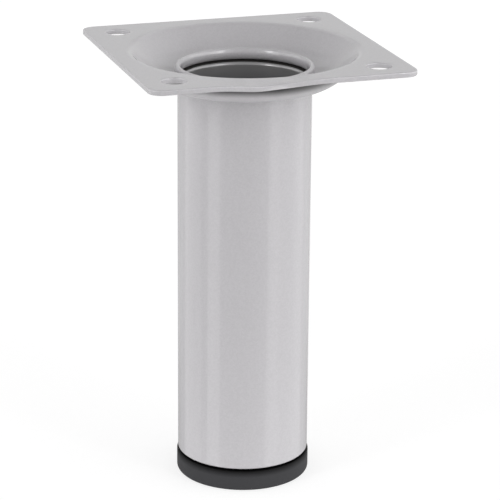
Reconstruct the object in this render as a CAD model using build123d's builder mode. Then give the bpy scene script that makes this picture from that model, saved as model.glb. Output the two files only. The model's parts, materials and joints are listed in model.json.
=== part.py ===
from build123d import *
import os

# Round steel furniture leg: a square pressed plate that screws under the furniture, a tube
# whose end is rolled into the plate's drawn dish, and a levelling foot in the tube's lower end.
# Millimetres, +Z up. The origin is the middle of the sole, with the foot screwed right in.

# Whole leg
leg_height = 100.0           # sole to the plate's screwing face

# Plate
plate_side = 60.0
plate_corner_radius = 3.0
plate_edge_break = 0.2
sheet = 1.2
screw_hole_spacing = 46.0
screw_hole_diameter = 5.5

# Dish drawn into the plate
dish_depth = 6.8             # screwing face to the dish's floor
dish_floor_width = 4.5       # hole's edge to where floor and wall would meet without their bend
dish_wall_run = 6.4          # how far the wall leans out on its way up
dish_floor_bend = 9.5
dish_shoulder_bend = 2.2

# Tube
tube_diameter = 30.0
tube_wall = 1.2
tube_edge_break = 0.3
neck_reduction = 0.4         # how far the end is squeezed in to pass the plate's hole
neck_clearance = 0.1

# Bead rolled on the tube's end, above the dish's floor
bead_overhang = 0.6          # bead past the tube's outside
bead_width = 1.5
bead_height = 3.4
bead_crown = 0.45            # rise of the bead's rounded top
bead_seat = 0.4              # width of the bead's foot on the sheet
bead_undercut = 0.8          # height of the gap between bead and sheet, at its mouth
crease_height = 1.0          # floor to the crease between the bead's lip and the neck
crease_gap = 0.15
crease_depth = 0.6

# Plastic bush pressed into the tube's lower end
bush_length = 22.0
bush_core_diameter = 21.0
bush_clearance = 0.1
bush_flange_thickness = 0.3
bush_flange_inset = 0.5      # flange's edge inside the tube's outside
bush_end_thickness = 2.5
fin_count = 3
fin_thickness = 1.0
fin_pitch = 5.6

# Levelling foot
base_overhang = 0.25         # base past the tube's outside
base_height = 4.85
base_sole_chamfer = 0.7
base_top_chamfer = 0.3
base_stop_gap = 0.1          # base to bush with the foot screwed right in
spindle_diameter = 8.0
spindle_reach = 28.0         # thread above the base
spindle_end_chamfer = 1.0
spindle_head_flats = 13.0
spindle_head_height = 2.6
spindle_head_cover = 1.3     # plastic between the head and the sole
spindle_moulding_gap = 0.1
spindle_thread_clearance = 0.2

# Places that more than one piece shares
floor_z = leg_height - dish_depth
floor_underside_z = floor_z - sheet
bush_bottom_z = base_height + base_stop_gap
tube_bottom_z = bush_bottom_z + bush_flange_thickness
tube_radius = tube_diameter / 2
bore_radius = tube_radius - tube_wall
neck_radius = tube_radius - neck_reduction
spindle_radius = spindle_diameter / 2

os.makedirs("parts", exist_ok=True)

# Mounting plate: the dish's section turned about the axis, trimmed to the square, then punched
plate_hole_radius = neck_radius + neck_clearance
dish_floor_radius = plate_hole_radius + dish_floor_width
mouth_radius = dish_floor_radius + dish_wall_run
with BuildPart() as mounting_plate:
    with BuildSketch(Plane.XZ):
        with BuildLine():
            upper_face = FilletPolyline(
                (plate_hole_radius, floor_z),
                (dish_floor_radius, floor_z),
                (mouth_radius, leg_height),
                (plate_side, leg_height),
                radius=[dish_floor_bend, dish_shoulder_bend],
            )
            offset(upper_face, amount=sheet, side=Side.RIGHT)
        make_face()
    revolve(axis=Axis.Z)
    with BuildSketch(Plane.XY.offset(floor_underside_z)):
        RectangleRounded(plate_side, plate_side, plate_corner_radius)
    extrude(amount=dish_depth + sheet, mode=Mode.INTERSECT)
    rim_faces = mounting_plate.faces().filter_by(Axis.Z).sort_by(SortBy.AREA)[-2:]
    rim_edges = [face.outer_wire().edges() for face in rim_faces]
    chamfer(rim_edges[0] + rim_edges[1], length=plate_edge_break)
    with Locations((0, 0, leg_height)):
        with GridLocations(screw_hole_spacing, screw_hole_spacing, 2, 2):
            Hole(screw_hole_diameter / 2, depth=sheet)
mounting_plate.part.label = "mounting_plate"
export_step(mounting_plate.part, "parts/mounting_plate.step")

# Tube: straight below the plate, necked through its hole and rolled over above the sheet
bead_radius = tube_radius + bead_overhang
bead_top_z = floor_z + bead_height
bead_side_z = bead_top_z - bead_crown
lip_radius = bead_radius - bead_width
crease_radius = lip_radius + crease_depth
crease_low_z = floor_z + crease_height
crease_high_z = crease_low_z + crease_gap
neck_bevel = crease_radius - bore_radius
with BuildPart() as leg_tube:
    with BuildSketch(Plane.XZ):
        with BuildLine():
            outside = Polyline(
                (bore_radius, crease_low_z - neck_bevel),
                (bore_radius, tube_bottom_z),
                (tube_radius, tube_bottom_z),
                (tube_radius, floor_underside_z),
                (neck_radius, floor_underside_z),
                (neck_radius, floor_z),
                (neck_radius + bead_seat, floor_z),
                (bead_radius, floor_z + bead_undercut),
                (bead_radius, bead_side_z),
            )
            bead_top = ThreePointArc(
                outside @ 1,
                (bead_radius - bead_width / 2, bead_top_z),
                (lip_radius, bead_side_z),
            )
            Polyline(
                bead_top @ 1,
                (lip_radius, crease_high_z + crease_depth),
                (crease_radius, crease_high_z),
                (crease_radius, crease_low_z),
                outside @ 0,
            )
        make_face()
    revolve(axis=Axis.Z)
    lower_edges = leg_tube.edges().filter_by(GeomType.CIRCLE).group_by(Axis.Z)[0]
    chamfer(lower_edges, length=tube_edge_break)
leg_tube.part.label = "leg_tube"
export_step(leg_tube.part, "parts/leg_tube.step")

# Bush: a core with gripping fins, an end plate and a thin flange under the tube's edge
fin_radius = bore_radius - bush_clearance
bush_bore_radius = spindle_radius + spindle_thread_clearance
bush_top_z = bush_bottom_z + bush_length
with BuildPart() as tube_bush:
    with Locations((0, 0, bush_bottom_z)):
        Cylinder(tube_radius - bush_flange_inset, bush_flange_thickness,
                 align=(Align.CENTER, Align.CENTER, Align.MIN))
        Cylinder(fin_radius, bush_flange_thickness + bush_end_thickness,
                 align=(Align.CENTER, Align.CENTER, Align.MIN))
        Cylinder(bush_core_diameter / 2, bush_length,
                 align=(Align.CENTER, Align.CENTER, Align.MIN))
    for fin in range(fin_count):
        with Locations((0, 0, bush_top_z - fin_thickness - fin * fin_pitch)):
            Cylinder(fin_radius, fin_thickness, align=(Align.CENTER, Align.CENTER, Align.MIN))
    with Locations((0, 0, bush_top_z)):
        Hole(bush_bore_radius, depth=bush_length)
tube_bush.part.label = "tube_bush"
export_step(tube_bush.part, "parts/tube_bush.step")

# Foot base: a moulded disc with a hexagonal pocket round the spindle's head
base_radius = tube_radius + base_overhang
head_top_z = spindle_head_cover + spindle_head_height
with BuildPart() as foot_base:
    Cylinder(base_radius, base_height, align=(Align.CENTER, Align.CENTER, Align.MIN))
    sole_edge = foot_base.edges().sort_by(Axis.Z)[0]
    chamfer(sole_edge, length=base_sole_chamfer)
    top_edge = foot_base.edges().sort_by(Axis.Z)[-1]
    chamfer(top_edge, length=base_top_chamfer)
    with BuildSketch(Plane.XY.offset(spindle_head_cover)):
        RegularPolygon(spindle_head_flats / 2 + spindle_moulding_gap, 6, major_radius=False)
    extrude(amount=spindle_head_height + spindle_moulding_gap, mode=Mode.SUBTRACT)
    with Locations((0, 0, base_height)):
        Hole(spindle_radius + spindle_moulding_gap, depth=base_height - head_top_z)
foot_base.part.label = "foot_base"
export_step(foot_base.part, "parts/foot_base.step")

# Spindle: the threaded stud and its head, which the base is moulded round
spindle_top_z = base_height + spindle_reach
with BuildPart() as foot_spindle:
    with BuildSketch(Plane.XY.offset(spindle_head_cover)):
        RegularPolygon(spindle_head_flats / 2, 6, major_radius=False)
    extrude(amount=spindle_head_height)
    with BuildSketch(Plane.XY.offset(head_top_z)):
        Circle(spindle_radius)
    extrude(amount=spindle_top_z - head_top_z)
    chamfer(foot_spindle.edges().sort_by(Axis.Z)[-1], length=spindle_end_chamfer)
foot_spindle.part.label = "foot_spindle"
export_step(foot_spindle.part, "parts/foot_spindle.step")
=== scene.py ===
import json
import math

import bmesh
import bpy
from mathutils import Matrix, Vector


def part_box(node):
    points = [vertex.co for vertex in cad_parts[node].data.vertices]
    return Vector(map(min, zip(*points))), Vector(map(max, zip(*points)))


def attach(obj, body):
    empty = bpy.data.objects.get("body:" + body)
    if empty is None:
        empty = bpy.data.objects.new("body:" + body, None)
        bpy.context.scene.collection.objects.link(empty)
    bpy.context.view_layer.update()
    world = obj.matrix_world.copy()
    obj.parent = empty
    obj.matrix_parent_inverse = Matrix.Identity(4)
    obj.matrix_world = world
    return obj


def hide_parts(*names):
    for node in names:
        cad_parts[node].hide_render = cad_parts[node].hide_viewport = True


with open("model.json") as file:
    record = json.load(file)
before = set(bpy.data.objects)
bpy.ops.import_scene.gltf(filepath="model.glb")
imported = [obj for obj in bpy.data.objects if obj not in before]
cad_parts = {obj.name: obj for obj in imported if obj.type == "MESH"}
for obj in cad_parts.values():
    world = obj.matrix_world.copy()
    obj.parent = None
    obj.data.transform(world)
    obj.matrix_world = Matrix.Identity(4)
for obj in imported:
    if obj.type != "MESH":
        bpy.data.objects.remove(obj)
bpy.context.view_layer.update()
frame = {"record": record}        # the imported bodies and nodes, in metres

scene = bpy.context.scene
scene.view_settings.view_transform = "Standard"

# Mounting plate
# Sheet steel, blanked square with rounded corners, drawn into a round dish in the middle and
# punched for four screws, then powder coated together with the tube.
mm = 0.001
turn_facets = 160
plate_low, plate_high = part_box("mounting_plate")
plate_top = plate_high.z
plate_side = plate_high.x - plate_low.x
plate_corner = 3.0 * mm
corner_facets = 10
side_cuts = 35                       # cuts along each straight side, so that it can dip
sheet = 1.2 * mm
sheet_edge_round = 0.25 * mm
sheet_edge_facets = 3
sheet_edge_angle = 60                # degrees; a sharper edge of the sheet is a cut edge
edge_land = 0.8 * mm                 # plain rim along each cut edge, which its rounding runs in
hair = 0.01 * mm                     # how near counts as touching
screw_holes = next(m for m in frame["record"]["mounts"] if m["name"] == "screw_holes")["dims"]
screw_hole_radius = screw_holes["hole_r_mm"] * mm
screw_hole_inset = screw_holes["spacing_x_mm"] / 2 * mm
screw_hole_facets = 48
dish_floor = plate_low.z + sheet
dish_floor_corner = 19.2 * mm        # where floor and wall would meet without their bend
dish_wall_run = 6.4 * mm
dish_floor_bend = 9.5 * mm
floor_bend_facets = 14
dish_shoulder_bend = 2.2 * mm
shoulder_facets = 8
plate_hole_radius = 14.7 * mm
sag_middle = -4.2 * mm               # the front edge dips a little, left of its middle
sag_reach = 12.5 * mm
sag_depth = 0.75 * mm


def bend(centre, radius, start, end, steps, stretch=1.0):
    """Points (radius, height) along a bend of a turned section, between two angles in degrees.
    Stretch makes the bend that much taller."""
    middle_radius, middle_height = centre
    angles = [math.radians(start + (end - start) * i / steps) for i in range(steps + 1)]
    return [
        (middle_radius + radius * math.cos(a), middle_height + stretch * radius * math.sin(a))
        for a in angles]


def draw_out(start, profile):
    """Extrudes the selected ring, which lies at start, through the points of a section."""
    radius, height = start
    for next_radius, next_height in profile:
        climb = (0, 0, next_height - height)
        bpy.ops.mesh.extrude_edges_move(TRANSFORM_OT_translate={"value": climb})
        share = next_radius / radius
        bpy.ops.transform.resize(value=(share, share, 1), center_override=(0, 0, 0))
        radius, height = next_radius, next_height


def select_edges(piece, wanted):
    """In edit mode, selects the edges that pass a test."""
    bpy.ops.mesh.select_mode(type="EDGE")
    bpy.ops.mesh.select_all(action="DESELECT")
    shape = bmesh.from_edit_mesh(piece.data)
    for edge in shape.edges:
        edge.select = wanted(edge)
    shape.select_flush_mode()
    bmesh.update_edit_mesh(piece.data)


def on_circle(centre, radius):
    """A test for edges that lie on a level circle."""
    def lies_on(vertex):
        return abs((vertex.co - centre).length - radius) < hair
    return lambda edge: all(lies_on(vertex) for vertex in edge.verts)


def on_outline(edge):
    """A test for edges along the plate's outline."""
    place = edge.verts[0].co.xy
    past_dish = place.length > plate_side / 2 - 2 * edge_land
    at_side = max(map(abs, place)) > plate_side / 2 - plate_corner
    return edge.is_boundary and past_dish and at_side


def finish_piece(piece, name, node, body, sharp_angle=40):
    """Shades the piece, with edges sharper than the angle left hard, and lets it stand for its node."""
    bpy.ops.object.mode_set(mode="OBJECT")
    bpy.ops.object.shade_smooth_by_angle(angle=math.radians(sharp_angle))
    bpy.ops.object.modifier_add(type="WEIGHTED_NORMAL")
    piece.modifiers[-1].keep_sharp = True
    bpy.ops.object.modifier_apply(modifier=piece.modifiers[-1].name)
    piece.name = name
    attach(piece, body)
    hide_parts(node)


wall_angle = math.atan2(plate_top - dish_floor, dish_wall_run)
mouth_radius = dish_floor_corner + dish_wall_run + dish_shoulder_bend * math.tan(wall_angle / 2)
floor_start = dish_floor_corner - dish_floor_bend * math.tan(wall_angle / 2)
lean = math.degrees(wall_angle)
shoulder_centre = (mouth_radius, plate_top - dish_shoulder_bend)
shoulder = bend(shoulder_centre, dish_shoulder_bend, 90, 90 + lean, shoulder_facets)
floor_centre = (floor_start, dish_floor + dish_floor_bend)
floor_turn = bend(floor_centre, dish_floor_bend, 270 + lean, 270, floor_bend_facets)

inner_share = 1 - 2 * edge_land / plate_side
bpy.ops.object.select_all(action="DESELECT")
bpy.ops.mesh.primitive_plane_add(size=plate_side * inner_share, location=(0, 0, plate_top))
plate = bpy.context.object
bpy.ops.object.transform_apply(location=True, rotation=True, scale=True)
bpy.ops.object.mode_set(mode="EDIT")
bpy.ops.mesh.bevel(offset=plate_corner * inner_share, segments=corner_facets, affect="VERTICES")
bpy.ops.mesh.delete(type="ONLY_FACE")
select_edges(plate, lambda edge: edge.calc_length() > plate_corner)
bpy.ops.mesh.subdivide(number_cuts=side_cuts)
middle = Vector((0, 0, plate_top))
bpy.ops.mesh.primitive_circle_add(vertices=turn_facets, radius=mouth_radius, location=middle)
screw_hole_places = [
    Vector((x, y, plate_top))
    for x in (-screw_hole_inset, screw_hole_inset)
    for y in (-screw_hole_inset, screw_hole_inset)]
for place in screw_hole_places:
    bpy.ops.mesh.primitive_circle_add(
        vertices=screw_hole_facets, radius=screw_hole_radius + edge_land, location=place)
bpy.ops.mesh.select_all(action="SELECT")
bpy.ops.mesh.fill(use_beauty=True)
hole_share = screw_hole_radius / (screw_hole_radius + edge_land)
for place in screw_hole_places:
    select_edges(plate, on_circle(place, screw_hole_radius + edge_land))
    bpy.ops.mesh.extrude_edges_move()
    bpy.ops.transform.resize(value=(hole_share, hole_share, 1), center_override=place)
select_edges(plate, on_circle(middle, mouth_radius))
draw_out((mouth_radius, plate_top), shoulder[1:] + floor_turn + [(plate_hole_radius, dish_floor)])
select_edges(plate, on_outline)
bpy.ops.mesh.extrude_edges_move()
bpy.ops.transform.resize(value=(1 / inner_share, 1 / inner_share, 1), center_override=middle)
shape = bmesh.from_edit_mesh(plate.data)
for vertex in shape.verts:
    along = (vertex.co.x - sag_middle) / sag_reach
    across = (vertex.co.xy.length - mouth_radius) / (plate_side / 2 - mouth_radius)
    if vertex.co.y < 0 and across > 0 and abs(along) < 1:
        vertex.co.z -= sag_depth * math.cos(along * math.pi / 2) ** 2 * min(across, 1) ** 2
bmesh.update_edit_mesh(plate.data)
bpy.ops.mesh.select_all(action="SELECT")
bpy.ops.mesh.normals_make_consistent(inside=False)
bpy.ops.object.mode_set(mode="OBJECT")
if plate.data.polygons[0].normal.z < 0:
    plate.data.flip_normals()
bpy.ops.object.modifier_add(type="SOLIDIFY")
plate.modifiers[-1].thickness = sheet
plate.modifiers[-1].offset = -1
plate.modifiers[-1].use_even_offset = True
bpy.ops.object.modifier_apply(modifier=plate.modifiers[-1].name)
bpy.ops.object.mode_set(mode="EDIT")
bpy.ops.mesh.select_mode(type="EDGE")
bpy.ops.mesh.select_all(action="DESELECT")
bpy.ops.mesh.edges_select_sharp(sharpness=math.radians(sheet_edge_angle))
bpy.ops.mesh.bevel(offset=sheet_edge_round, segments=sheet_edge_facets)
finish_piece(plate, "plate_sheet", "mounting_plate", "leg")


def linear(code):
    """An sRGB hex colour as linear RGBA."""
    parts = [int(code[i:i + 2], 16) / 255 for i in (1, 3, 5)]
    return [p / 12.92 if p <= 0.04045 else ((p + 0.055) / 1.055) ** 2.4 for p in parts] + [1.0]


def add(tree, kind, inputs, **settings):
    """Adds a node with its settings; an input is a value or another node's output."""
    made = tree.nodes.new(kind)
    for name, value in settings.items():
        setattr(made, name, value)
    for name, value in inputs.items():
        if isinstance(value, bpy.types.NodeSocket):
            tree.links.new(value, made.inputs[name])
        else:
            made.inputs[name].default_value = value
    return made


def new_material(name):
    """A material with an empty node tree."""
    made = bpy.data.materials.new(name)
    made.use_nodes = True
    made.node_tree.nodes.clear()
    return made


# Silver-grey polyester powder coat with aluminium flake, baked on: a satin skin that flows into a
# faint orange peel, with flakes that catch the light one by one. The flakes are under 0.1 mm in
# the real coat and are drawn coarser, so that they show. The corner between the dish and the
# margin's underside gets painted shade: its downward faces are darkened to a deep grey, least at
# the left, in place of the shadow that falls there.
coat_grey = "#c0bec1"
coat_grey_dark = "#bab8bb"
coat_painted_shade = "#302f2f"
painted_shade_radius = 25.3 * mm
painted_shade_core = 1.1 * mm
painted_shade_reach = 3.6 * mm
painted_shade_left = -0.55               # fades out from here to the left side, in shares of the radius
painted_shade_tilt = -0.4                # a face that tilts down this far counts as an underside
coat_peel_width = 1.6 * mm
coat_flake_width = 0.3 * mm
coat = new_material("silver_grey_powder_coat")
tree = coat.node_tree
place = add(tree, "ShaderNodeTexCoord", {}).outputs["Object"]
flake = add(tree, "ShaderNodeTexVoronoi", {"Vector": place, "Scale": 1 / coat_flake_width})
flake_tone = add(tree, "ShaderNodeSeparateColor", {"Color": flake.outputs["Color"]}).outputs["Red"]
flaked = add(tree, "ShaderNodeMix", {
    0: flake_tone, 6: linear(coat_grey_dark), 7: linear(coat_grey)}, data_type="RGBA")
from_axis = add(tree, "ShaderNodeVectorMath", {0: place, 1: (1, 1, 0)}, operation="MULTIPLY")
from_axis = from_axis.outputs["Vector"]
off_axis = add(tree, "ShaderNodeVectorMath", {0: from_axis}, operation="LENGTH")
off_corner = add(tree, "ShaderNodeMath", {
    0: off_axis.outputs["Value"], 1: painted_shade_radius}, operation="SUBTRACT")
distance = add(tree, "ShaderNodeMath", {0: off_corner.outputs["Value"]}, operation="ABSOLUTE")
normal = add(tree, "ShaderNodeTexCoord", {}).outputs["Normal"]
tilt = add(tree, "ShaderNodeSeparateXYZ", {"Vector": normal}).outputs["Z"]
faces_down = add(tree, "ShaderNodeMapRange", {
    "Value": tilt, "From Min": 0.0, "From Max": painted_shade_tilt})
heading = add(tree, "ShaderNodeVectorMath", {0: from_axis}, operation="NORMALIZE")
rightward = add(tree, "ShaderNodeSeparateXYZ", {"Vector": heading.outputs["Vector"]}).outputs["X"]
off_left = add(tree, "ShaderNodeMapRange", {
    "Value": rightward, "From Min": -1.0, "From Max": painted_shade_left,
    "To Min": 0.0, "To Max": faces_down.outputs["Result"]})
# Painted shade: how far the corner under the margin is darkened, by its distance from the corner.
corner_shade = add(tree, "ShaderNodeMapRange", {
    "Value": distance.outputs["Value"], "From Min": painted_shade_core, "From Max": painted_shade_reach,
    "To Min": off_left.outputs["Result"], "To Max": 0.0}, interpolation_type="SMOOTHSTEP")
colour = add(tree, "ShaderNodeMix", {
    0: corner_shade.outputs["Result"], 6: flaked.outputs[2], 7: linear(coat_painted_shade)}, data_type="RGBA")
peel = add(tree, "ShaderNodeTexNoise", {
    "Vector": place, "Scale": 1 / coat_peel_width, "Detail": 2.0})
bump = add(tree, "ShaderNodeBump", {
    "Height": peel.outputs["Fac"], "Strength": 0.04, "Distance": 0.05 * mm})
skin = add(tree, "ShaderNodeBsdfPrincipled", {
    "Base Color": colour.outputs[2],
    "Metallic": 0.12,
    "Roughness": 0.4,
    "Coat Weight": 1.0,
    "Coat Roughness": 0.03,
    "Normal": bump.outputs["Normal"],
})
add(tree, "ShaderNodeOutputMaterial", {"Surface": skin.outputs["BSDF"]})
plate.data.materials.append(coat)

# Tube
# Welded steel tube. Its upper end is necked to pass the plate's hole and rolled over into a bead,
# which holds the sheet against the shoulder below; the lower edge is deburred and coated round.
tube_low, tube_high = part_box("leg_tube")
tube_radius = 15.0 * mm
tube_wall = 1.2 * mm
tube_end_round = 0.4 * mm
tube_end_facets = 5
bore_radius = tube_radius - tube_wall
neck_radius = tube_radius - 0.4 * mm
bead_radius = tube_high.x
bead_width = 1.5 * mm
bead_seat = 0.4 * mm                 # width of the bead's foot on the sheet
bead_side_facets = 8
bead_top_facets = 9
bead_undercut = 1.2 * mm             # height of the gap between bead and sheet, at its mouth
lip_radius = bead_radius - bead_width
lip_fall = 1.5 * mm                  # the bead's top to its innermost line
lip_facets = 12
lip_turn = 0.9 * mm                  # how far the lip curls back below that line
lip_turn_facets = 10
crease_low = dish_floor + 0.4 * mm
crease_high = dish_floor + 0.65 * mm
crease_back = bead_radius - 0.4 * mm   # the hollow inside the rolled edge
neck_round = 0.9 * mm
neck_facets = 10
seam_merge = 0.002 * mm              # points nearer than this are one


def upright_bend(start, end, steps):
    """Points along an arc that leaves start straight up or down and ends at end."""
    across, climb = end[0] - start[0], end[1] - start[1]
    radius = (across * across + climb * climb) / (2 * across)
    sweep = math.atan2(abs(climb / radius), 1 - across / radius)
    height = math.copysign(abs(radius), climb)
    angles = [sweep * i / steps for i in range(steps + 1)]
    return [
        (start[0] + radius * (1 - math.cos(a)), start[1] + height * math.sin(a))
        for a in angles]


bead_foot = (neck_radius + bead_seat, dish_floor)
bead_side = upright_bend((bead_radius, dish_floor + bead_undercut), bead_foot, bead_side_facets)
end_centre = tube_low.z + tube_end_round
outer_turn = bend((tube_radius - tube_end_round, end_centre), tube_end_round, -90, 0, tube_end_facets)
inner_turn = bend((bore_radius + tube_end_round, end_centre), tube_end_round, 180, 270, tube_end_facets)
tube_section = outer_turn[1:]
tube_section += [(tube_radius, plate_low.z), (neck_radius, plate_low.z), (neck_radius, dish_floor)]
tube_section += bead_side[::-1]
bead_middle = bead_radius - bead_width / 2
lip_side = tube_high.z - lip_fall
bead_round = bead_width / 2
tube_section += bend((bead_middle, tube_high.z - bead_round), bead_round, 0, 90, bead_top_facets)
lip_stretch = lip_fall / bead_round
tube_section += bend((bead_middle, lip_side), bead_round, 90, 180, lip_facets, lip_stretch)[1:]
curl_centre = (lip_radius + lip_turn, lip_side)
curl_stretch = (lip_side - crease_high) / lip_turn
tube_section += bend(curl_centre, lip_turn, 180, 270, lip_turn_facets, curl_stretch)[1:]
tube_section += [(crease_back, crease_high), (crease_back, crease_low)]
neck_centre = (bore_radius + neck_round, crease_low - neck_round)
tube_section += bend(neck_centre, neck_round, 90, 180, neck_facets)
tube_section += inner_turn + [outer_turn[0]]

bpy.ops.object.select_all(action="DESELECT")
bpy.ops.mesh.primitive_circle_add(
    vertices=turn_facets, radius=outer_turn[0][0], location=(0, 0, tube_low.z))
tube = bpy.context.object
bpy.ops.object.transform_apply(location=True, rotation=True, scale=True)
bpy.ops.object.mode_set(mode="EDIT")
draw_out(outer_turn[0], tube_section)
bpy.ops.mesh.select_all(action="SELECT")
bpy.ops.mesh.remove_doubles(threshold=seam_merge)
bpy.ops.mesh.normals_make_consistent(inside=False)
finish_piece(tube, "tube_rolled", "leg_tube", "leg")

# Inside the tube is mill-finish steel, a half bright grey. The spray reaches only a little way in,
# so the coat thins out below the neck.
steel_tone = "#606265"
steel_sprayed = "#959495"
spray_top = crease_low - neck_round
spray_end = spray_top - 9 * mm
bore = new_material("mill_steel_with_overspray")
tree = bore.node_tree
place = add(tree, "ShaderNodeTexCoord", {}).outputs["Object"]
height = add(tree, "ShaderNodeSeparateXYZ", {"Vector": place}).outputs["Z"]
cover = add(tree, "ShaderNodeMapRange", {
    "Value": height, "From Min": spray_end, "From Max": spray_top}, interpolation_type="SMOOTHSTEP")
colour = add(tree, "ShaderNodeMix", {
    0: cover.outputs["Result"], 6: linear(steel_tone), 7: linear(steel_sprayed)}, data_type="RGBA")
skin = add(tree, "ShaderNodeBsdfPrincipled", {
    "Base Color": colour.outputs[2],
    "Metallic": 0.5,
    "Roughness": 0.4,
    "Coat Weight": 1.0,
    "Coat Roughness": 0.08,
})
add(tree, "ShaderNodeOutputMaterial", {"Surface": skin.outputs["BSDF"]})

# The narrow hollows under the rolled edge, inside and out, show nearly black. They get painted
# shade: a dark, dull steel-grey in place of the shadow in them, on steel the spray doesn't reach.
crease_shade_grey = "#262422"
crease_shade = new_material("painted_shade_in_crease")
tree = crease_shade.node_tree
skin = add(tree, "ShaderNodeBsdfPrincipled", {"Base Color": linear(crease_shade_grey), "Roughness": 0.7})
add(tree, "ShaderNodeOutputMaterial", {"Surface": skin.outputs["BSDF"]})
tube.data.materials.append(coat)
tube.data.materials.append(bore)
tube.data.materials.append(crease_shade)
bare_inside = tube_radius - 0.7 * tube_wall
bare_top = crease_low - 0.15 * neck_round
lip_end = crease_high + 0.06 * (lip_side - crease_high)
undercut_top = dish_floor + 0.75 * bead_undercut
for face in tube.data.polygons:
    out = face.center.xy.length
    height = face.center.z
    if out < bare_inside and height < bare_top:
        face.material_index = 1
    # The hollow inside the curl gets the painted shade.
    elif out < crease_back + hair and spray_top < height < lip_end:
        face.material_index = 2
    # So does the undercut below the bead's outer side.
    elif out > bead_middle and dish_floor < height < undercut_top:
        face.material_index = 2

# Bush
# Black polyamide plug, moulded with gripping fins and a thread down its middle, and pressed into
# the tube's lower end up to its thin flange.
bush_low, bush_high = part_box("tube_bush")
bush_facets = 96
flange_radius = bush_high.x
flange_top = tube_low.z
fin_radius = bore_radius - 0.1 * mm
fin_thickness = 1.0 * mm
fin_pitch = 5.6 * mm
fin_count = 3
fin_lean = 0.25 * mm                 # how far each side of a fin slopes in
core_radius = 10.5 * mm
end_top = flange_top + 2.5 * mm
bush_bore = 4.2 * mm
bore_lead = 0.5 * mm                 # chamfer at both mouths of the bore

bush_section = [(flange_radius, bush_low.z), (flange_radius, flange_top), (fin_radius, flange_top)]
bush_section += [(fin_radius, end_top), (core_radius, end_top)]
for fin in reversed(range(fin_count)):
    fin_top = bush_high.z - fin * fin_pitch
    fin_low = fin_top - fin_thickness
    bush_section += [(core_radius, fin_low), (fin_radius, fin_low + fin_lean)]
    bush_section += [(fin_radius, fin_top - fin_lean), (core_radius, fin_top)]
bush_section += [(bush_bore + bore_lead, bush_high.z), (bush_bore, bush_high.z - bore_lead)]
bush_section += [(bush_bore, bush_low.z + bore_lead), (bush_bore + bore_lead, bush_low.z)]
bush_section += [(flange_radius, bush_low.z)]
bpy.ops.object.select_all(action="DESELECT")
bpy.ops.mesh.primitive_circle_add(
    vertices=bush_facets, radius=flange_radius, location=(0, 0, bush_low.z))
bush = bpy.context.object
bpy.ops.object.transform_apply(location=True, rotation=True, scale=True)
bpy.ops.object.mode_set(mode="EDIT")
draw_out(bush_section[0], bush_section[1:])
bpy.ops.mesh.select_all(action="SELECT")
bpy.ops.mesh.remove_doubles(threshold=seam_merge)
bpy.ops.mesh.normals_make_consistent(inside=False)
finish_piece(bush, "bush_plug", "tube_bush", "leg")

# Black polyamide, moulded in a spark-eroded tool: a deep grey-black with a fine even grain and a
# soft sheen. The grain is about 0.1 mm in the real tool and is drawn coarser, so that it shows.
plastic_black = "#29292b"
plastic_grain = 0.35 * mm
plastic = new_material("black_moulded_polyamide")
tree = plastic.node_tree
place = add(tree, "ShaderNodeTexCoord", {}).outputs["Object"]
grain = add(tree, "ShaderNodeTexNoise", {
    "Vector": place, "Scale": 1 / plastic_grain, "Detail": 3.0}).outputs["Fac"]
gloss = add(tree, "ShaderNodeMapRange", {"Value": grain, "To Min": 0.42, "To Max": 0.58})
bump = add(tree, "ShaderNodeBump", {"Height": grain, "Strength": 0.2, "Distance": 0.03 * mm})
skin = add(tree, "ShaderNodeBsdfPrincipled", {
    "Base Color": linear(plastic_black),
    "Roughness": gloss.outputs["Result"],
    "IOR": 1.53,
    "Normal": bump.outputs["Normal"],
})
add(tree, "ShaderNodeOutputMaterial", {"Surface": skin.outputs["BSDF"]})
bush.data.materials.append(plastic)

# The flange's edge lies deep in the narrow gap under the tube, which shows as a black line. It
# gets painted shade: drawn matt and darker than the rest of the plug, so that the gap reads as black.
flange_shade_black = "#121213"
flange_shade = new_material("flange_edge_painted_shade")
tree = flange_shade.node_tree
skin = add(tree, "ShaderNodeBsdfPrincipled", {
    "Base Color": linear(flange_shade_black), "Roughness": 0.9, "Specular IOR Level": 0.1})
add(tree, "ShaderNodeOutputMaterial", {"Surface": skin.outputs["BSDF"]})
bush.data.materials.append(flange_shade)
# The flange's outer faces get the painted shade.
for face in bush.data.polygons:
    if face.center.xy.length > fin_radius and face.center.z < flange_top + hair:
        face.material_index = 1

# Spindle
# M8 steel stud with a rolled thread, zinc plated. Its hexagonal head is moulded into the base, so
# the foot is turned by hand to set the height.
spindle_low, spindle_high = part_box("foot_spindle")
base_low, base_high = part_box("foot_base")
thread_radius = 4.0 * mm
thread_depth = 0.62 * mm
thread_pitch = 1.25 * mm
thread_rows = 10                     # rings to each turn of the thread
thread_facets = 48
thread_run_out = 1.0 * mm
flank_slope = 2.6                    # the flanks between a flat root and a flat crest
crest_share = 0.15
end_taper = 1.2                      # the lead-in at the top, in depths of the thread
skin_share = 0.95                    # points further out than this are on the thread
head_top = spindle_low.z + 2.6 * mm
head_edge_break = 0.2 * mm
stud_end_inset = 0.4 * mm
head_flats = spindle_high.y - spindle_low.y
thread_start = base_high.z - 0.8 * mm

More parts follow.
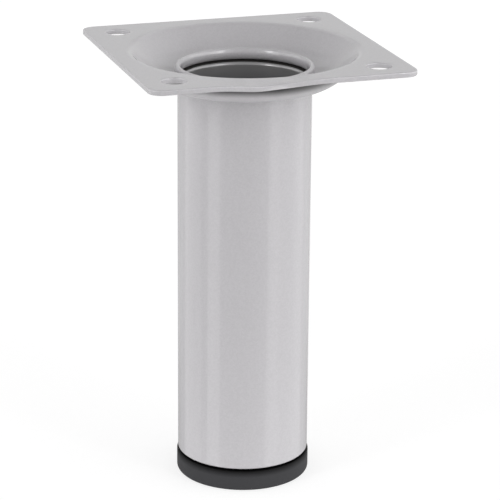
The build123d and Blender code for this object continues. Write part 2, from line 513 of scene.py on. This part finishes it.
bpy.ops.object.select_all(action="DESELECT")
bpy.ops.mesh.primitive_cylinder_add(
    vertices=6, radius=head_flats / math.sqrt(3), depth=head_top - spindle_low.z,
    location=(0, 0, (head_top + spindle_low.z) / 2), rotation=(0, 0, math.radians(30)))
spindle = bpy.context.object
bpy.ops.object.transform_apply(location=True, rotation=True, scale=True)
bpy.ops.object.mode_set(mode="EDIT")
bpy.ops.mesh.bevel(offset=head_edge_break, segments=2)
bpy.ops.mesh.select_all(action="DESELECT")
shank = [(thread_radius, head_top), (thread_radius, thread_start)]
row_count = round((spindle_high.z - thread_start) / thread_pitch * thread_rows)
row_rise = (spindle_high.z - thread_start) / row_count
shank += [(thread_radius, thread_start + row_rise * row) for row in range(1, row_count + 1)]
bpy.ops.mesh.primitive_circle_add(
    vertices=thread_facets, radius=thread_radius, location=(0, 0, head_top), fill_type="TRIFAN")
select_edges(spindle, on_circle(Vector((0, 0, head_top)), thread_radius))
draw_out(shank[0], shank[1:])
bpy.ops.mesh.edge_face_add()
bpy.ops.mesh.inset(thickness=stud_end_inset)
shape = bmesh.from_edit_mesh(spindle.data)
for vertex in shape.verts:
    if vertex.co.z > thread_start and vertex.co.xy.length > skin_share * thread_radius:
        above_start = vertex.co.z - thread_start
        below_end = spindle_high.z - vertex.co.z
        turn = math.atan2(vertex.co.y, vertex.co.x) / math.tau
        phase = (above_start / thread_pitch - turn) % 1.0
        flank = min(1.0, max(0.0, flank_slope * abs(phase - 0.5) - crest_share))
        start_fade = min(1.0, above_start / thread_run_out)
        end_cut = max(0.0, 1 - below_end / thread_run_out) * thread_depth * end_taper
        radius = thread_radius - max(thread_depth * flank * start_fade, end_cut)
        vertex.co.xy *= radius / vertex.co.xy.length
bmesh.update_edit_mesh(spindle.data)
bpy.ops.mesh.select_all(action="SELECT")
bpy.ops.mesh.normals_make_consistent(inside=False)
finish_piece(spindle, "spindle_m8", "foot_spindle", "foot", sharp_angle=50)

# Bright zinc plate over a rolled thread: a cold white metal, slightly cloudy, with faint
# blue passivation in the film.
zinc_white = "#c9cdd2"
zinc_cloud = "#aeb4ba"
zinc_cloud_width = 4.0 * mm
zinc = new_material("bright_zinc_plate")
tree = zinc.node_tree
place = add(tree, "ShaderNodeTexCoord", {}).outputs["Object"]
cloud = add(tree, "ShaderNodeTexNoise", {
    "Vector": place, "Scale": 1 / zinc_cloud_width, "Detail": 4.0}).outputs["Fac"]
colour = add(tree, "ShaderNodeMix", {
    0: cloud, 6: linear(zinc_cloud), 7: linear(zinc_white)}, data_type="RGBA")
gloss = add(tree, "ShaderNodeMapRange", {"Value": cloud, "To Min": 0.2, "To Max": 0.34})
skin = add(tree, "ShaderNodeBsdfPrincipled", {
    "Base Color": colour.outputs[2],
    "Metallic": 1.0,
    "Roughness": gloss.outputs["Result"],
})
add(tree, "ShaderNodeOutputMaterial", {"Surface": skin.outputs["BSDF"]})
spindle.data.materials.append(zinc)

# Foot base
# Black polyamide disc, moulded round the spindle's head, a touch wider than the tube. Its sole
# and its upper edge are rounded.
base_radius = base_high.x
sole_round = 0.8 * mm
base_top_round = 0.3 * mm
base_round_facets = 5
head_gap = 0.1 * mm
base_height = base_high.z - base_low.z
pocket_height = head_top - spindle_low.z + head_gap
bpy.ops.object.select_all(action="DESELECT")
bpy.ops.mesh.primitive_cylinder_add(
    vertices=turn_facets, radius=base_radius, depth=base_height,
    location=(0, 0, base_low.z + base_height / 2))
base = bpy.context.object
bpy.ops.object.transform_apply(location=True, rotation=True, scale=True)
bpy.ops.object.mode_set(mode="EDIT")
for rim, round_off in ((base_low.z, sole_round), (base_high.z, base_top_round)):
    select_edges(base, lambda edge: all(abs(vertex.co.z - rim) < hair for vertex in edge.verts))
    bpy.ops.mesh.bevel(offset=round_off, segments=base_round_facets)
bpy.ops.object.mode_set(mode="OBJECT")

bpy.ops.object.select_all(action="DESELECT")
bpy.ops.mesh.primitive_cylinder_add(
    vertices=6, radius=(head_flats + 2 * head_gap) / math.sqrt(3), depth=pocket_height,
    location=(0, 0, spindle_low.z + pocket_height / 2), rotation=(0, 0, math.radians(30)))
head_pocket = bpy.context.object
bpy.ops.mesh.primitive_cylinder_add(
    vertices=thread_facets, radius=thread_radius + head_gap, depth=base_height,
    location=(0, 0, head_top + base_height / 2))
shank_hole = bpy.context.object
for cutter in (head_pocket, shank_hole):
    bpy.ops.object.select_all(action="DESELECT")
    bpy.context.view_layer.objects.active = base
    base.select_set(True)
    bpy.ops.object.modifier_add(type="BOOLEAN")
    base.modifiers[-1].object = cutter
    base.modifiers[-1].operation = "DIFFERENCE"
    bpy.ops.object.modifier_apply(modifier=base.modifiers[-1].name)
    bpy.data.objects.remove(cutter)
finish_piece(base, "base_disc", "foot_base", "foot")

# The same polyamide with a matt side. The side darkens toward the tube's edge above it, and that
# shade is drawn as a tone in the plastic.
base_black = "#3d3d3f"
base_shade = "#050505"
base_shade_reach = 1.6 * mm
matt_plastic = new_material("black_matt_polyamide")
tree = matt_plastic.node_tree
place = add(tree, "ShaderNodeTexCoord", {}).outputs["Object"]
height = add(tree, "ShaderNodeSeparateXYZ", {"Vector": place}).outputs["Z"]
shade = add(tree, "ShaderNodeMapRange", {
    "Value": height, "From Min": base_high.z - base_shade_reach, "From Max": base_high.z})
colour = add(tree, "ShaderNodeMix", {
    0: shade.outputs["Result"], 6: linear(base_black), 7: linear(base_shade)}, data_type="RGBA")
grain = add(tree, "ShaderNodeTexNoise", {
    "Vector": place, "Scale": 1 / plastic_grain, "Detail": 3.0}).outputs["Fac"]
bump = add(tree, "ShaderNodeBump", {"Height": grain, "Strength": 0.2, "Distance": 0.03 * mm})
skin = add(tree, "ShaderNodeBsdfPrincipled", {
    "Base Color": colour.outputs[2],
    "Roughness": 0.5,
    "IOR": 1.53,
    "Specular IOR Level": 0.1,
    "Normal": bump.outputs["Normal"],
})
add(tree, "ShaderNodeOutputMaterial", {"Surface": skin.outputs["BSDF"]})
base.data.materials.clear()
base.data.materials.append(matt_plastic)

# Camera
# Stands at the photograph's viewing angle, to the left of the plate's front and a little above it,
# with a long lens that takes in the whole leg.
camera_azimuth = math.radians(-18.07)
camera_elevation = math.radians(18.56)
camera_roll = math.radians(0.435)
camera_distance = 550.5 * mm
camera_lens = 174.32                 # mm, on the sensor below
camera_sensor = 36.0
camera_target = Vector((1.36, -0.44, 52.99)) * mm
away = Vector((
    math.sin(camera_azimuth) * math.cos(camera_elevation),
    -math.cos(camera_azimuth) * math.cos(camera_elevation),
    math.sin(camera_elevation)))
level_right = Vector((math.cos(camera_azimuth), math.sin(camera_azimuth), 0))
level_up = away.cross(level_right)
right = math.cos(camera_roll) * level_right + math.sin(camera_roll) * level_up
up = away.cross(right)
camera_data = bpy.data.cameras.new("studio_camera")
camera_data.sensor_width = camera_sensor
camera_data.lens = camera_lens
camera_data.clip_start = 10 * mm
camera = bpy.data.objects.new("studio_camera", camera_data)
scene.collection.objects.link(camera)
camera_place = Matrix.Translation(camera_target + camera_distance * away)
camera_turn = Matrix((right, up, away)).transposed().to_4x4()
camera.matrix_world = camera_place @ camera_turn
scene.camera = camera
front = Vector((away.x, away.y, 0)).normalized()

# Floor and background
# A white studio sweep. The camera sees it white, with the leg's soft shadow on it; the leg is lit
# by the bright pool round its foot, and its coat mirrors the softboxes in the paper's sheen.
floor_size = 6.0
pool_radius = 0.22
pool_light = 0.68
sheen_light = 0.03
sheen_behind = 0.26                  # the paper behind the leg, as its coat mirrors it
sheen_reach = 0.1                    # how far behind the leg that is
white_near = 0.74
white_near_radius = 0.1
white_far = 0.95
white_far_radius = 1.0
floor_paper = "#e6e6e6"
floor_paper_seen = "#9c9c9c"
floor_sheen = "#bcbcbc"
bpy.ops.object.select_all(action="DESELECT")
bpy.ops.mesh.primitive_plane_add(size=floor_size, location=(0, 0, 0))
floor = bpy.context.object
floor.name = "studio_floor"
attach(floor, "foot")               # the foot stands on it at every height
paper = new_material("white_paper_sweep")
tree = paper.node_tree
rays = add(tree, "ShaderNodeLightPath", {})
place = add(tree, "ShaderNodeTexCoord", {}).outputs["Object"]
far = add(tree, "ShaderNodeVectorMath", {0: place}, operation="LENGTH").outputs["Value"]
pool = add(tree, "ShaderNodeMapRange", {
    "Value": far, "From Max": pool_radius, "To Min": pool_light, "To Max": 0.0},
    interpolation_type="SMOOTHSTEP")
matt = add(tree, "ShaderNodeBsdfDiffuse", {"Color": linear(floor_paper)})
lit = add(tree, "ShaderNodeEmission", {"Color": linear("#ffffff"), "Strength": pool.outputs["Result"]})
bounce = add(tree, "ShaderNodeAddShader", {0: matt.outputs["BSDF"], 1: lit.outputs["Emission"]})
matt_seen = add(tree, "ShaderNodeBsdfDiffuse", {"Color": linear(floor_paper_seen)})
whitening = add(tree, "ShaderNodeMapRange", {
    "Value": far, "From Min": white_near_radius, "From Max": white_far_radius,
    "To Min": white_near, "To Max": white_far})
glow = add(tree, "ShaderNodeEmission", {
    "Color": linear("#ffffff"), "Strength": whitening.outputs["Result"]})
white = add(tree, "ShaderNodeAddShader", {0: matt_seen.outputs["BSDF"], 1: glow.outputs["Emission"]})
gloss = add(tree, "ShaderNodeBsdfGlossy", {"Color": linear(floor_sheen), "Roughness": 0.02})
behind = add(tree, "ShaderNodeVectorMath", {0: place, 1: -front}, operation="DOT_PRODUCT")
sheen_level = add(tree, "ShaderNodeMapRange", {
    "Value": behind.outputs["Value"], "From Max": sheen_reach,
    "To Min": sheen_light, "To Max": sheen_behind})
sheen = add(tree, "ShaderNodeEmission", {
    "Color": linear("#ffffff"), "Strength": sheen_level.outputs["Result"]})
mirror = add(tree, "ShaderNodeAddShader", {0: gloss.outputs["BSDF"], 1: sheen.outputs["Emission"]})
by_eye = add(tree, "ShaderNodeMixShader", {
    0: rays.outputs["Is Camera Ray"], 1: bounce.outputs["Shader"], 2: white.outputs["Shader"]})
by_gloss = add(tree, "ShaderNodeMixShader", {
    0: rays.outputs["Is Glossy Ray"], 1: by_eye.outputs["Shader"], 2: mirror.outputs["Shader"]})
add(tree, "ShaderNodeOutputMaterial", {"Surface": by_gloss.outputs["Shader"]})
floor.data.materials.append(paper)

# Lights
# Four white studio walls light the leg softly, most from the right, and softboxes beside and over
# it draw the bright strips along the tube. The camera sees the room pure white.
aim = Vector((0, 0, 55)) * mm
wall_spread = 2.0                    # power of the cosine that a wall's light falls off with
studio_walls = ((front, 0.89), (-front, 0.74), (level_right, 1.26), (-level_right, 0.79))


def softbox(name, azimuth, elevation, distance, width, height, power):
    """A rectangular lamp that faces the leg; azimuth is counted from the camera, to its right."""
    turn = camera_azimuth + math.radians(azimuth)
    climb = math.radians(elevation)
    level_out = Vector((math.sin(turn), -math.cos(turn), 0))
    out = math.cos(climb) * level_out + math.sin(climb) * Vector((0, 0, 1))
    data = bpy.data.lights.new(name, "AREA")
    data.shape = "RECTANGLE"
    data.size = width
    data.size_y = height
    data.energy = power
    lamp = bpy.data.objects.new(name, data)
    lamp.location = aim + distance * out
    lamp.rotation_euler = out.to_track_quat("Z", "Y").to_euler()
    scene.collection.objects.link(lamp)


world = bpy.data.worlds.new("studio_world")
scene.world = world
world.use_nodes = True
tree = world.node_tree
tree.nodes.clear()
rays = add(tree, "ShaderNodeLightPath", {})
direction = add(tree, "ShaderNodeTexCoord", {}).outputs["Generated"]
room = 0.0
for axis, wall_light in studio_walls:
    facing = add(tree, "ShaderNodeVectorMath", {0: direction, 1: axis}, operation="DOT_PRODUCT")
    ahead = add(tree, "ShaderNodeMath", {0: facing.outputs["Value"], 1: 0.0}, operation="MAXIMUM")
    soft = add(tree, "ShaderNodeMath", {0: ahead.outputs["Value"], 1: wall_spread}, operation="POWER")
    room = add(tree, "ShaderNodeMath", {
        0: soft.outputs["Value"], 1: wall_light, 2: room}, operation="MULTIPLY_ADD").outputs["Value"]
clear = add(tree, "ShaderNodeMath", {
    0: rays.outputs["Is Camera Ray"], 1: rays.outputs["Is Transmission Ray"]}, operation="MAXIMUM")
strength = add(tree, "ShaderNodeMix", {0: clear.outputs["Value"], 2: room, 3: 1.0})
sky = add(tree, "ShaderNodeBackground", {"Color": linear("#ffffff"), "Strength": strength.outputs[0]})
add(tree, "ShaderNodeOutputWorld", {"Surface": sky.outputs["Background"]})

# Azimuth and elevation in degrees, distance, width and height in metres, power in watts.
softbox("softbox_right", 81, 20, 0.45, 0.73, 0.36, 0.66)
softbox("softbox_right_near", 53, 20, 0.45, 0.18, 0.36, 0.15)
softbox("softbox_left", -52.7, 20, 0.45, 0.185, 0.36, 0.33)
softbox("softbox_left_wide", -100, 20, 0.45, 0.36, 0.36, 0.36)
softbox("softbox_high_left", -49, 33, 0.45, 0.06, 0.2, 0.17)
softbox("softbox_high_right", 47, 33, 0.45, 0.06, 0.2, 0.14)
softbox("softbox_top", 0, 85, 0.6, 0.5, 0.5, 0.2)
softbox("softbox_back", 180, 50, 0.6, 0.6, 0.4, 0.25)
